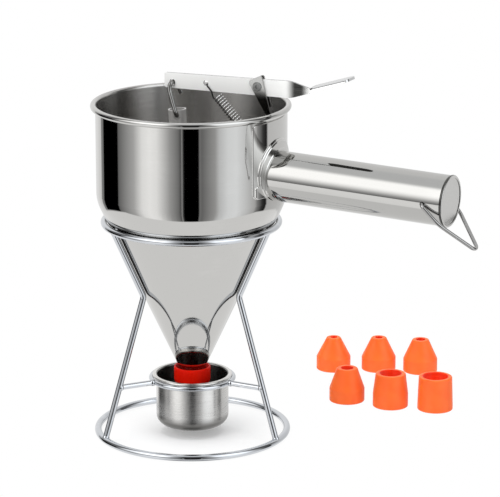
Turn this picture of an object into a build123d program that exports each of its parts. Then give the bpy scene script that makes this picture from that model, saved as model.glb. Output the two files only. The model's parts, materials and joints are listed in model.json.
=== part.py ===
from build123d import *

import os
from math import ceil, cos, pi, radians, sin, sqrt, tan

import numpy as np

# A confectionery funnel on a wire stand: a thumb lever lifts a plunger out of the spout.
# Millimetres. The origin is on the floor under the funnel's axis, +Z is up and +X runs along the handle.

# Sheets and fits
sheet = 0.8                    # bowl, cone, spout and cup
weld_gap = 0.05                # between faces that are welded or pressed together
seat_gap = 0.3                 # between pieces that only rest on each other
pin_clearance = 0.05           # radial, a pin in its hole

# Funnel
bowl_radius = 76.0             # outside of the wall
wall_height = 69.6             # straight wall, from the shoulder to the middle of the rolled rim
rim_bead = 4.8                 # thickness of the rolled rim
rim_curl = 300.0               # how far the sheet curls round the rim, in degrees
shoulder_radius = 30.0
seam_drop = 4.0                # from the shoulder's end to the seam with the cone
cone_angle = 24.9              # half angle, in degrees
spout_radius = 11.1            # outside
spout_top = 55.93
spout_length = 12.0

# Stand
stand_wire = 5.0               # legs and top ring
base_wire = 5.5
base_ring_radius = 77.0        # to the middle of the wire
top_ring_drop = 8.9            # below the seam
waist_height = 120.0           # where the legs bend outwards
waist_bend = 7.0
leg_angles = [-4.0, 116.0, 236.0]        # round the axis, from the top ring to the waist
leg_foot_turns = [2.4, 0.0, -4.9]        # from there to the feet, in degrees

# Drip cup and its ring
cup_radius = 29.4
cup_bottom = 6.7
cup_corner = 9.0
cup_flare = 1.2                # bend between the wall and the lip
cup_lip_reach = 3.0            # lip outside the wall
cup_bead = 2.0
cup_ring_wire = 4.0
cup_ring_height = 45.75
cup_ring_overlap = 1.1         # how far the lip lies over the ring
strut_wire = 4.5

# Handle
handle_radius = 20.0
handle_wall = 1.0
handle_length = 145.8          # from the bowl's wall along the handle's axis
handle_drop = 49.5             # where the axis meets the wall, below the rim
handle_droop = 1.8             # degrees
plate_sheet = 0.8              # the plate under the flange
plate_margin = 1.6             # the plate outside the flange's feet
plate_corner = 4.0
plate_drop = 4.0               # below the rim
flange_drop = 14.0             # flat lower edge below the handle's axis
flange_lift = 3.0              # the arch's middle above the handle's axis
flange_arch, flange_base = 7.0, 1.2         # reach outside the handle, and thickness, of the flange's edge
flange_middle, flange_rise = 5.6, 1.4       # of its raised middle, from half way through the edge
flange_collar, flange_lip = 2.4, 1.3        # of its collar, from half way through the middle
flange_edge = 0.5              # bevel of each step
flange_foot_reach, flange_foot_height = 2.5, 10.5    # the feet outside the arch
flange_foot_corner = 2.6
cap_lip = 0.5                  # cap outside the tube
cap_thickness = 2.4
cap_edge = 1.1                 # rounding
cap_bead = 2.4                 # width of its raised edge
cap_face_drop = 0.4            # its face below that edge
cap_plug_depth = 6.0
cap_plug_wall = 1.0

# Hanging loop
loop_wire = 3.0
loop_inset = 13.6              # its holes from the tube's end
loop_tilt = 44.0               # below the horizontal, in degrees
loop_side_gap = 1.0            # between its sides and the tube
loop_shoulder = 19.0           # where its sides turn in
loop_length = 56.0
loop_peg = 4.5                 # how far its ends reach inside the tube's wall
loop_clearance = 0.45          # radial, its ends in their holes
loop_end_bend, loop_side_bend, loop_tip_bend = 3.2, 20.0, 5.5

# Lever
lever_sheet = 2.0
pivot_inset = 16.1             # from the outside of the bowl's wall
pivot_rise = 20.7              # above the rim
rivet_radius = 2.5
rivet_bore = 1.4
rivet_head_radius = 3.7
rivet_head = 0.9
lever_end = (-82.9, -8.2, 3.9)           # from the pivot: along, lower edge and upper edge
lever_turn = (28.1, -6.9, 6.7)           # the same, where the blade bends
crease_x, crease_z = 44.5, 2.3           # from the pivot, where the thumb plate starts
lever_end_corner, lever_low_bend, lever_high_bend, crease_bend = 2.0, 30.0, 25.0, 5.0
thumb_slope = 17.6             # degrees
thumb_length = 33.0            # along the slope from the crease
thumb_width = 22.0
thumb_lip = 3.4                # edge below the thumb plate's near side
thumb_back = 6.0               # how far the plate's far corner reaches back past the crease
thumb_lip_taper = 12.0         # where that edge runs out, before the plate's corner
thumb_near_corner, thumb_far_corner, thumb_back_corner, thumb_lip_corner = 4.0, 10.0, 5.0, 12.0
thumb_fold = 2.6               # rounding between the blade's near side and the plate
link_hole = (-75.8, -4.1)                # from the pivot
link_hole_width, link_hole_height = 5.0, 6.5
spring_hole = (-46.0, -1.5)              # from the pivot
spring_hole_width = 4.4

# Lever bracket
ear_sheet = 1.5
ear_gap = 0.4                  # between an ear and the lever
ear_corners = [(3.4, 9.2), (-6.8, 4.7), (-7.1, 1.8), (7.9, -21.8)]    # from the pivot, in the lever's plane
ear_bends = [1.5, 3.0, 3.0, 4.0]
ear_foot_depth = 3.2           # the ears below the rim, inward from the foot
ear_foot_length = 22.0         # the ears below the foot's top
ear_foot_bend = 4.0
foot_width = 20.0
foot_drop = 10.0               # the foot's top below the rim
foot_height = 36.0
foot_corner = 3.0
web_rise = 5.0                 # the web between the ears, above the rim
lug_reach = 7.6                # the spring's lug, inward from the foot
lug_height = 10.0
lug_corner = 2.5
lug_hole = 3.4
lug_sheet = 1.6
anchor_inset = 5.2             # the lug's hole from the wall
anchor_drop = 40.1             # and below the rim

# Plunger and its link
stopper_lap = 1.6              # the stopper's radius over the spout's inside
stopper_taper = 8.0            # height of the stopper's cone
stopper_spigot = 16.0          # its length inside the tube
plunger_radius = 7.3
plunger_wall = 1.0
plunger_offset, plunger_drop = 3.5, 21.0 # the plunger's top beside and below the lever's link hole
link_wire = 3.6
link_drop = 4.0                # the plunger's cross hole below its top
link_turn = 25.0               # the way that the hole faces, in degrees from the lever's near side
link_play = 1.2                # radial, the link in that hole
link_lift = 0.8                # the link above the middle of the lever's hole
link_bend, link_sway = 3.0, 10.0         # tight bends, and the slight one below the lever
link_side = 0.8                # between the link and the lever
link_knee = (-1.0, -1.4, -5.0)           # from its upper bend to the slight one
link_stand = 1.9               # between the link and the plunger
link_foot = 6.6                # its lower end, towards the plunger's axis
link_tail = (5.4, 0.8, -9.5)             # from its upper bend to its free end

# Return spring
spring_wire = 1.2
coil_radius = 3.5              # to the middle of the wire
coil_quarters = 97             # quarter turns
coil_start = 45.0              # degrees round the axis
hook_radius = 2.2
hook_tail = 3.8
hook_leg = 5.8
hook_length = 12.0             # from a hook's tip to the first coil

# Nozzles
nozzle_wall = 3.65             # round the socket
nozzle_height = 28.3
socket_depth = 12.0
socket_ledge = 1.5
socket_lead, socket_lead_depth = 2.2, 4.0          # the socket's wider mouth
nozzle_gap = 0.5               # between the cone and the fitted nozzle
tip_land = 3.0                 # straight part of the hole
mouth_edge, skirt_edge, tip_edge, hole_edge = 0.6, 1.5, 1.2, 0.4
fitted_nozzle_form = (9.0, 15.5, 11.0)   # hole, tip width and height of the straight skirt
spare_nozzle_forms = [
    (6.0, 11.8, 11.0),
    (6.6, 12.8, 11.0),
    (8.0, 14.0, 11.0),
    (10.6, 17.4, 11.0),
    (18.6, 25.2, 11.0),
    (21.7, 27.9, 4.0),
]
spare_nozzle_spots = [         # on the floor
    (32.7, 205.4),
    (68.4, 222.0),
    (103.4, 232.4),
    (80.2, 128.8),
    (119.0, 131.4),
    (155.9, 140.2),
]

# Heights and radii that follow from them
slope = radians(cone_angle)
slant_sheet = sheet / cos(slope)
inner_wall = bowl_radius - sheet
corner_height = spout_top + (bowl_radius - spout_radius) / tan(slope)
wall_foot = corner_height + shoulder_radius * tan(slope / 2)
shoulder_middle = (bowl_radius - shoulder_radius, wall_foot)
seam_height = wall_foot - shoulder_radius * sin(slope) - seam_drop
rim_height = wall_foot + wall_height
plate_inside = bowl_radius + weld_gap
flange_inside = plate_inside + plate_sheet + weld_gap
handle_height = rim_height - handle_drop
pivot_x = bowl_radius - pivot_inset
pivot_z = rim_height + pivot_rise
lever_plane = Plane(origin=(pivot_x, 0, pivot_z), x_dir=(1, 0, 0), z_dir=(0, -1, 0))

os.makedirs("parts", exist_ok=True)


def cone_radius(height):
    """The cone's outside radius at a height."""
    return spout_radius + (height - spout_top) * tan(slope)


def polar(radius, angle, height):
    """A point given by its distance from the funnel's axis, its angle round it and its height."""
    return Vector(radius * cos(radians(angle)), radius * sin(radians(angle)), height)


def section(place):
    """The plane of a round piece's half outline: local y runs along the given plane's normal."""
    return Plane(origin=place.origin, x_dir=place.x_dir, z_dir=-place.y_dir)


def ring(radius, thickness, height):
    """A wire ring that lies level."""
    with BuildPart() as hoop:
        with Locations((0, 0, height)):
            Torus(radius, thickness / 2)
    return hoop.part


def bent_wire(place, points, bends, thickness):
    """A round wire in straight runs with rounded bends."""
    with BuildPart() as wire:
        with BuildLine(place) as path:
            FilletPolyline(*points, radius=bends)
        with BuildSketch(Plane(origin=path.line @ 0, z_dir=path.line % 0)):
            Circle(thickness / 2)
        sweep()
    return wire.part


# Bowl: wall, rolled rim and rounded shoulder
seam_radius = cone_radius(seam_height)
bead_radius = rim_bead / 2
bead_middle = (inner_wall + bead_radius, rim_height)
with BuildPart() as bowl:
    with BuildSketch(Plane.XZ):
        with BuildLine():
            inner_shoulder = CenterArc(shoulder_middle, shoulder_radius - sheet, -cone_angle, cone_angle)
            Line(inner_shoulder @ 1, (inner_wall, rim_height))
            outer_curl = CenterArc(bead_middle, bead_radius, 180, -rim_curl)
            inner_curl = CenterArc(bead_middle, bead_radius - sheet, 180 - rim_curl, rim_curl)
            Line(outer_curl @ 1, inner_curl @ 0)
            Line(inner_curl @ 1, (bowl_radius, wall_foot))
            outer_shoulder = CenterArc(shoulder_middle, shoulder_radius, 0, -cone_angle)
            Polyline(
                outer_shoulder @ 1,
                (seam_radius, seam_height),
                (seam_radius - slant_sheet, seam_height),
                inner_shoulder @ 0,
            )
        make_face()
    revolve(axis=Axis.Z)
bowl.part.label = "bowl"
export_step(bowl.part, "parts/bowl.step")

# Cone below the seam
with BuildPart() as cone:
    with BuildSketch(Plane.XZ):
        with BuildLine():
            Polyline(
                (spout_radius, spout_top),
                (seam_radius, seam_height),
                (seam_radius - slant_sheet, seam_height),
                (spout_radius - slant_sheet, spout_top),
                close=True,
            )
        make_face()
    revolve(axis=Axis.Z)
cone.part.label = "cone"
export_step(cone.part, "parts/cone.step")

# Spout: the short tube that the nozzles push onto
with BuildPart() as spout:
    with BuildSketch(Plane.XY.offset(spout_top - spout_length)):
        Circle(spout_radius)
        Circle(spout_radius - sheet, mode=Mode.SUBTRACT)
    extrude(amount=spout_length)
spout.part.label = "spout"
export_step(spout.part, "parts/spout.step")

# The handle's axis runs from the bowl's wall outwards and slightly down
droop = radians(handle_droop)
handle_way = (cos(droop), 0, -sin(droop))
handle_root = Plane(origin=(bowl_radius, 0, handle_height), x_dir=(0, 1, 0), z_dir=handle_way)
handle_start = handle_root.offset(-handle_radius)
handle_end = handle_root.offset(handle_length)
loop_pivot = handle_root.offset(handle_length - loop_inset).origin

# Handle plate and flange: a sheet on the wall, and on it an arched pressing with a collar
flange_low = handle_height - flange_drop
plate_top = rim_height - plate_drop


def wall_layer(outline, inside, thickness, edge):
    """A sheet on the bowl's wall inside an outline seen along the handle, with a bevelled edge."""
    with BuildPart() as layer:
        with BuildSketch(Plane.YZ):
            add(outline)
        extrude(amount=2 * bowl_radius)
        with BuildSketch(Plane.XY):
            Circle(inside + thickness)
            Circle(inside, mode=Mode.SUBTRACT)
        extrude(amount=rim_height, mode=Mode.INTERSECT)
        chamfer(layer.faces().sort_by(Axis.X)[-1].edges(), edge)
    return layer.part


def arch(radius, low, lift):
    """A round arch over the handle's axis with a flat lower edge."""
    with BuildSketch() as outline:
        with Locations((0, handle_height + lift)):
            Circle(radius)
        with Locations((0, low)):
            Rectangle(2 * radius, 4 * radius, align=(Align.CENTER, Align.MIN), mode=Mode.INTERSECT)
    return outline.sketch


arch_radius = handle_radius + flange_arch
foot_span = 2 * (arch_radius + flange_foot_reach)
with BuildSketch() as plate_outline:
    with Locations((0, (flange_low + plate_top) / 2)):
        RectangleRounded(foot_span + 2 * plate_margin, plate_top - flange_low, plate_corner)
with BuildPart() as handle_plate:
    add(wall_layer(plate_outline.sketch, plate_inside, plate_sheet, plate_sheet / 2))
handle_plate.part.label = "handle_plate"
export_step(handle_plate.part, "parts/handle_plate.step")

with BuildSketch() as flange_base_outline:
    add(arch(arch_radius, flange_low, flange_lift))
    with Locations((0, flange_low + flange_foot_height / 2)):
        RectangleRounded(foot_span, flange_foot_height, flange_foot_corner)
flange_step = flange_arch - flange_middle
middle_outline = arch(handle_radius + flange_middle, flange_low + flange_step, flange_lift)
middle_inside = flange_inside + flange_base / 2
collar_outline = arch(handle_radius + flange_collar, flange_low + 2 * flange_step, 0)
collar_inside = middle_inside + flange_rise / 2
with BuildPart() as handle_flange:
    add(wall_layer(flange_base_outline.sketch, flange_inside, flange_base, flange_edge))
    add(wall_layer(middle_outline, middle_inside, flange_rise, flange_edge))
    add(wall_layer(collar_outline, collar_inside, flange_lip, flange_edge))
    with BuildSketch(handle_start):
        Circle(handle_radius + weld_gap)
    extrude(amount=4 * handle_radius, mode=Mode.SUBTRACT)
handle_flange.part.label = "handle_flange"
export_step(handle_flange.part, "parts/handle_flange.step")

# Handle tube, saddled to the plate, with two side holes for the hanging loop
with BuildPart() as handle_tube:
    with BuildSketch(handle_start):
        Circle(handle_radius)
        Circle(handle_radius - handle_wall, mode=Mode.SUBTRACT)
    extrude(amount=handle_radius + handle_length)
    with BuildSketch(Plane.XY):
        Circle(flange_inside)
    extrude(amount=handle_height + 2 * handle_radius, mode=Mode.SUBTRACT)
    with BuildSketch(Plane.XZ):
        with Locations((loop_pivot.X, loop_pivot.Z)):
            Circle(loop_wire / 2 + loop_clearance)
    extrude(amount=2 * handle_radius, both=True, mode=Mode.SUBTRACT)
handle_tube.part.label = "handle_tube"
export_step(handle_tube.part, "parts/handle_tube.step")

# End cap: a disc with a raised, rounded edge and a plug inside the tube
plug_radius = handle_radius - handle_wall - weld_gap
with BuildPart() as handle_end_cap:
    with BuildSketch(handle_end):
        Circle(handle_radius + cap_lip)
    extrude(amount=cap_thickness)
    fillet(handle_end_cap.edges().filter_by(GeomType.CIRCLE), cap_edge)
    with BuildSketch(handle_end):
        Circle(plug_radius)
        Circle(plug_radius - cap_plug_wall, mode=Mode.SUBTRACT)
    extrude(amount=-cap_plug_depth)
    with BuildSketch(handle_end.offset(cap_thickness)):
        Circle(handle_radius + cap_lip - cap_bead)
    extrude(amount=-cap_face_drop, mode=Mode.SUBTRACT)
handle_end_cap.part.label = "handle_end_cap"
export_step(handle_end_cap.part, "parts/handle_end_cap.step")

# Hanging loop: a bail with its two ends in the tube's side holes
tilt = radians(loop_tilt)
loop_plane = Plane(origin=loop_pivot, x_dir=(0, 1, 0), z_dir=(-sin(tilt), 0, -cos(tilt)))
loop_end = handle_radius - handle_wall - loop_peg
loop_half_width = handle_radius + loop_side_gap + loop_wire / 2
loop_points = [
    (-loop_end, 0),
    (-loop_half_width, 0),
    (-loop_half_width, loop_shoulder),
    (0, loop_length),
    (loop_half_width, loop_shoulder),
    (loop_half_width, 0),
    (loop_end, 0),
]
loop_bends = [loop_end_bend, loop_side_bend, loop_tip_bend, loop_side_bend, loop_end_bend]
with BuildPart() as hanging_loop:
    add(bent_wire(loop_plane, loop_points, loop_bends, loop_wire))
hanging_loop.part.label = "hanging_loop"
export_step(hanging_loop.part, "parts/hanging_loop.step")

# Lever: a flat blade whose upper edge is folded back into a thumb plate
rise = radians(thumb_slope)
thumb_plane = Plane(
    origin=lever_plane.from_local_coords((crease_x, crease_z, 0)),
    x_dir=(cos(rise), 0, sin(rise)),
    z_dir=(-sin(rise), 0, cos(rise)),
)
fold_plane = Plane(
    origin=thumb_plane.from_local_coords((0, -lever_sheet / 2, 0)),
    x_dir=thumb_plane.y_dir,
    z_dir=thumb_plane.x_dir,
)
lip_end = thumb_length - thumb_near_corner
lever_end_x, lever_end_low, lever_end_high = lever_end
lever_turn_x, lever_turn_low, lever_turn_high = lever_turn


def thumb_edge(along, below):
    """A point of the blade, from the pivot, given along the thumb plate from the crease and below it."""
    ahead = along * cos(rise) + below * sin(rise)
    return crease_x + ahead, crease_z + along * sin(rise) - below * cos(rise)


with BuildPart() as lever:
    with BuildSketch(lever_plane):
        with BuildLine():
            FilletPolyline(
                (lever_end_x, lever_end_low),
                (lever_turn_x, lever_turn_low),
                thumb_edge(lip_end - thumb_lip_taper, thumb_lip),
                thumb_edge(lip_end, 0),
                (crease_x, crease_z),
                (lever_turn_x, lever_turn_high),
                (lever_end_x, lever_end_high),
                radius=[
                    lever_end_corner,
                    lever_low_bend,
                    thumb_lip_corner,
                    0,
                    crease_bend,
                    lever_high_bend,
                    lever_end_corner,
                ],
                close=True,
            )
        make_face()
        Circle(rivet_radius + pin_clearance, mode=Mode.SUBTRACT)
        with Locations(spring_hole):
            Circle(spring_hole_width / 2, mode=Mode.SUBTRACT)
        with Locations(link_hole):
            SlotOverall(link_hole_height, link_hole_width, rotation=90, mode=Mode.SUBTRACT)
    extrude(amount=lever_sheet / 2, both=True)
    with BuildSketch(thumb_plane):
        with BuildLine():
            FilletPolyline(
                (0, -lever_sheet / 2),
                (thumb_length, -lever_sheet / 2),
                (thumb_length, thumb_width - lever_sheet / 2),
                (-thumb_back, thumb_width - lever_sheet / 2),
                radius=[0, thumb_near_corner, thumb_far_corner, thumb_back_corner],
                close=True,
            )
        make_face()
    extrude(amount=-lever_sheet)
    with BuildSketch(fold_plane):
        with Locations((thumb_fold / 2, -thumb_fold / 2)):
            Rectangle(thumb_fold, thumb_fold)
        with Locations((thumb_fold, -thumb_fold)):
            Circle(thumb_fold, mode=Mode.SUBTRACT)
    extrude(amount=thumb_length, mode=Mode.SUBTRACT)
lever.part.label = "lever"
export_step(lever.part, "parts/lever.step")

# Lever bracket: a channel on the inside of the wall, with two ears for the pivot and a lug for the spring
ear_inside = lever_sheet / 2 + ear_gap
ear_outside = ear_inside + ear_sheet
foot_outside = inner_wall - weld_gap
foot_face = foot_outside - ear_sheet
ear_back = foot_face + ear_sheet / 4
foot_top = rim_height - foot_drop
foot_bottom = foot_top - foot_height
web_top = rim_height + web_rise
ear_outline = [(pivot_x + x, pivot_z + z) for x, z in ear_corners] + [
    (ear_back - ear_foot_depth, foot_top),
    (ear_back - ear_foot_depth, foot_top - ear_foot_length),
    (ear_back, foot_top - ear_foot_length - ear_foot_depth),
    (ear_back, foot_top),
]
ear_top_x, ear_top_z = ear_outline[0]
web_top_x = ear_top_x + (ear_back - ear_top_x) * (ear_top_z - web_top) / (ear_top_z - foot_top)
anchor_x = inner_wall - anchor_inset
anchor_z = rim_height - anchor_drop
with BuildPart() as lever_bracket:
    with BuildSketch(Plane.YZ):
        with Locations((0, (foot_bottom + foot_top) / 2)):
            RectangleRounded(foot_width, foot_top - foot_bottom, foot_corner)
    extrude(amount=bowl_radius)
    with BuildSketch(Plane.XY.offset(foot_bottom)):
        Circle(foot_outside)
        Circle(foot_face, mode=Mode.SUBTRACT)
    extrude(amount=foot_top - foot_bottom, mode=Mode.INTERSECT)
    with BuildSketch(Plane.XZ):
        with BuildLine():
            ear_radii = ear_bends + [ear_foot_bend, 0, 0, ear_foot_bend]
            FilletPolyline(*ear_outline, radius=ear_radii, close=True)
        make_face()
        with Locations((pivot_x, pivot_z)):
            Circle(rivet_radius + weld_gap, mode=Mode.SUBTRACT)
    extrude(amount=ear_outside, both=True)
    with BuildSketch(Plane.XZ):
        with BuildLine():
            Polyline(
                (0, ear_top_z),
                (bowl_radius, ear_top_z),
                (bowl_radius, web_top),
                (web_top_x - ear_sheet, web_top),
                (ear_back - ear_sheet, foot_top),
                (foot_face, foot_bottom),
                (0, foot_bottom),
                close=True,
            )
        make_face()
    extrude(amount=ear_inside, both=True, mode=Mode.SUBTRACT)
    with BuildSketch(Plane.XZ):
        with BuildLine():
            FilletPolyline(
                (ear_back, anchor_z + lug_height / 2),
                (ear_back - lug_reach, anchor_z + lug_height / 2),
                (ear_back - lug_reach, anchor_z - lug_height / 2),
                (ear_back, anchor_z - lug_height / 2),
                radius=[0, lug_corner, lug_corner, 0],
                close=True,
            )
        make_face()
        with Locations((anchor_x, anchor_z)):
            Circle(lug_hole / 2, mode=Mode.SUBTRACT)
    extrude(amount=lug_sheet / 2, both=True)
lever_bracket.part.label = "lever_bracket"
export_step(lever_bracket.part, "parts/lever_bracket.step")

# Pivot rivet: a hollow rivet through both ears
head_face = ear_outside + weld_gap
with BuildPart() as pivot_rivet:
    with BuildSketch(Plane(origin=(pivot_x, 0, pivot_z))):
        with BuildLine():
            Polyline(
                (rivet_bore, -head_face - rivet_head),
                (rivet_head_radius - rivet_head / 2, -head_face - rivet_head),
                (rivet_head_radius, -head_face - rivet_head / 2),
                (rivet_head_radius, -head_face),
                (rivet_radius, -head_face),
                (rivet_radius, 0),
                (rivet_bore, 0),
                close=True,
            )
        make_face()
        mirror(about=Plane.XZ)
    revolve(axis=Axis((pivot_x, 0, pivot_z), (0, 1, 0)))
pivot_rivet.part.label = "pivot_rivet"
export_step(pivot_rivet.part, "parts/pivot_rivet.step")

# Plunger: it leans from the spout's middle to the lever's link, and its stopper seats in the cone
stopper_radius = spout_radius - sheet + stopper_lap
seat_radius = (stopper_radius + seat_gap) / cos(slope) + slant_sheet
seat_height = spout_top + (seat_radius - spout_radius) / tan(slope)
seat_middle = Vector(0, 0, seat_height)
link_middle = Vector(lever_plane.from_local_coords((*link_hole, 0)))
plunger_top = link_middle + Vector(plunger_offset, 0, -plunger_drop)
plunger_axis = (plunger_top - seat_middle).normalized()
plunger_length = (plunger_top - seat_middle).length
plunger_plane = Plane(origin=seat_middle, x_dir=(0, 1, 0), z_dir=plunger_axis)
cross_hole = plunger_top - plunger_axis * link_drop
hole_way = Vector(sin(radians(link_turn)), -cos(radians(link_turn)), 0)
with BuildPart() as plunger_tube:
    with BuildSketch(plunger_plane.offset(stopper_taper)):
        Circle(plunger_radius)
        Circle(plunger_radius - plunger_wall, mode=Mode.SUBTRACT)
    extrude(amount=plunger_length - stopper_taper)
    with BuildSketch(Plane(origin=cross_hole, z_dir=hole_way)):
        Circle(link_wire / 2 + link_play)
    extrude(amount=2 * plunger_radius, mode=Mode.SUBTRACT)
plunger_tube.part.label = "plunger_tube"
export_step(plunger_tube.part, "parts/plunger_tube.step")

spigot_radius = plunger_radius - plunger_wall - weld_gap
with BuildPart() as plunger_stopper:
    with BuildSketch(section(plunger_plane)):
        with BuildLine():
            CenterArc((0, 0), stopper_radius, -90, 90)
            Polyline(
                (stopper_radius, 0),
                (plunger_radius, stopper_taper),
                (spigot_radius, stopper_taper),
                (spigot_radius, stopper_taper + stopper_spigot),
                (0, stopper_taper + stopper_spigot),
                (0, -stopper_radius),
            )
        make_face()
    revolve(axis=Axis(seat_middle, plunger_axis))
plunger_stopper.part.label = "plunger_stopper"
export_step(plunger_stopper.part, "parts/plunger_stopper.step")

# Link hook: through the lever's hole at the top and into the plunger's cross hole at the foot
link_reach = lever_sheet / 2 + link_side + link_wire / 2
link_back = link_middle + Vector(0, link_reach, link_lift)
link_front = link_middle + Vector(0, -link_reach, link_lift)
link_turn_in = cross_hole + hole_way * (plunger_radius + link_stand + link_wire / 2)
link_points = [
    link_back + Vector(*link_tail),
    link_back,
    link_front,
    link_front + Vector(*link_knee),
    link_turn_in,
    link_turn_in - hole_way * link_foot,
]
with BuildPart() as link_hook:
    add(bent_wire(Plane.XY, link_points, [link_bend, link_bend, link_sway, link_bend], link_wire))
link_hook.part.label = "link_hook"
export_step(link_hook.part, "parts/link_hook.step")

# Return spring: a hook through the lever, a row of coils and a hook through the bracket's lug
spring_eye = Vector(lever_plane.from_local_coords((*spring_hole, 0)))
spring_anchor = Vector(anchor_x, 0, anchor_z)
spring_axis = (spring_anchor - spring_eye).normalized()
hook_sag = hook_radius - sqrt(hook_radius**2 - (lever_sheet / 2) ** 2)
hook_shift = (spring_hole_width - spring_wire) / 2 - pin_clearance - hook_sag
spring_top = spring_eye + spring_axis * hook_shift
spring_span = (spring_anchor - spring_top).length
spring_side = Vector(0, -1, 0)
spring_up = spring_axis.cross(spring_side)
quarter_advance = (spring_span - 2 * hook_length) / coil_quarters


def spring_point(along, side, up=0.0):
    """A point given along the spring's axis from its hook in the lever, to the side and above."""
    return spring_top + spring_axis * along + spring_side * side + spring_up * up


def coil_point(quarter):
    """The middle of the wire after a number of quarter turns, and the way that it runs there."""
    turn = radians(coil_start + 90 * quarter)
    side = coil_radius * cos(turn)
    up = coil_radius * sin(turn)
    run = spring_up * side - spring_side * up + spring_axis * (quarter_advance / (pi / 2))
    return spring_point(hook_length + quarter_advance * quarter, side, up), run.normalized()


def biarc(start, start_run, end, end_run):
    """Two arcs, tangent where they meet, from one point and direction to another."""
    span = end - start
    square = 2 * (start_run.dot(end_run) - 1)
    linear = -2 * span.dot(start_run + end_run)
    reach = (-linear - sqrt(linear**2 - 4 * square * span.dot(span))) / (2 * square)
    first_knee = start + start_run * reach
    second_knee = end - end_run * reach
    meeting = (first_knee + second_knee) * 0.5
    TangentArc(start, meeting, tangent=start_run)
    TangentArc(meeting, end, tangent=second_knee - first_knee)


lever_tail = spring_point(hook_radius + hook_tail, -hook_radius)
lever_hook = [spring_point(hook_radius, -hook_radius), spring_top, spring_point(hook_radius, hook_radius)]
lever_leg = spring_point(hook_radius + hook_leg, hook_radius)
lug_leg = spring_point(spring_span - hook_radius - hook_leg, -hook_radius)
lug_hook = [
    spring_point(spring_span - hook_radius, -hook_radius),
    spring_anchor,
    spring_point(spring_span - hook_radius, hook_radius),
]
lug_tail = spring_point(spring_span - hook_radius - hook_tail, hook_radius)
with BuildPart() as return_spring:
    with BuildLine() as spring_path:
        Line(lever_tail, lever_hook[0])
        ThreePointArc(*lever_hook)
        Line(lever_hook[-1], lever_leg)
        biarc(lever_leg, spring_axis, *coil_point(0))
        for quarter in range(coil_quarters):
            biarc(*coil_point(quarter), *coil_point(quarter + 1))
        biarc(*coil_point(coil_quarters), lug_leg, spring_axis)
        Line(lug_leg, lug_hook[0])
        ThreePointArc(*lug_hook)
        Line(lug_hook[-1], lug_tail)
    with BuildSketch(Plane(origin=spring_path.line @ 0, z_dir=spring_path.line % 0)):
        Circle(spring_wire / 2)
    sweep()
return_spring.part.label = "return_spring"
export_step(return_spring.part, "parts/return_spring.step")

# The least gap between the spring's turns, from points along its wire more than two wires' girth apart
wire_points = []
wire_length = 0.0
for edge in spring_path.edges():
    steps = ceil(edge.length / (spring_wire / 3))
    wire_points += [tuple(edge @ (step / steps)) for step in range(steps)]
    wire_length += edge.length
wire_points = np.array(wire_points)
wire_runs = np.linalg.norm(np.diff(wire_points, axis=0), axis=1)
wire_places = np.concatenate([[0.0], np.cumsum(wire_runs)])
apart = np.linalg.norm(wire_points[:, None] - wire_points[None], axis=2)
apart[abs(wire_places[:, None] - wire_places[None]) < 2 * pi * spring_wire] = np.inf
print(f"return_spring: least gap to itself {apart.min() - spring_wire:.2f} mm")
wire_volume = pi * spring_wire**2 / 4 * wire_length
print(f"return_spring: volume {return_spring.part.volume:.1f} mm3")
print(f"return_spring: section times length {wire_volume:.1f} mm3")

# Nozzles: a socket for the spout, a straight skirt and a tip with its hole
socket_radius = spout_radius + pin_clearance
nozzle_radius = socket_radius + nozzle_wall


def nozzle(place, hole, tip_width, skirt):
    """A nozzle with its wide end on the given plane and its tip along the plane's normal."""
    with BuildPart() as shape:
        with BuildSketch(section(place)):
            with BuildLine():
                FilletPolyline(
                    (socket_radius + socket_lead, 0),
                    (nozzle_radius, 0),
                    (nozzle_radius, skirt),
                    (tip_width / 2, nozzle_height),
                    (hole / 2, nozzle_height),
                    (hole / 2, nozzle_height - tip_land),
                    (socket_radius - socket_ledge, socket_depth),
                    (socket_radius, socket_depth),
                    (socket_radius, socket_lead_depth),
                    radius=[0, mouth_edge, skirt_edge, tip_edge, hole_edge, 0, 0, 0, 0],
                    close=True,
                )
            make_face()
        revolve(axis=Axis(place.origin, place.z_dir))
    return shape.part


nozzle_top = Plane(origin=(0, 0, spout_top - nozzle_gap), x_dir=(1, 0, 0), z_dir=(0, 0, -1))
with BuildPart() as fitted_nozzle:
    add(nozzle(nozzle_top, *fitted_nozzle_form))
fitted_nozzle.part.label = "fitted_nozzle"
export_step(fitted_nozzle.part, "parts/fitted_nozzle.step")

for number, (spot, form) in enumerate(zip(spare_nozzle_spots, spare_nozzle_forms), start=1):
    with BuildPart() as spare_nozzle:
        add(nozzle(Plane(origin=(*spot, 0)), *form))
    spare_nozzle.part.label = f"spare_nozzle_{number}"
    export_step(spare_nozzle.part, f"parts/spare_nozzle_{number}.step")

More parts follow.
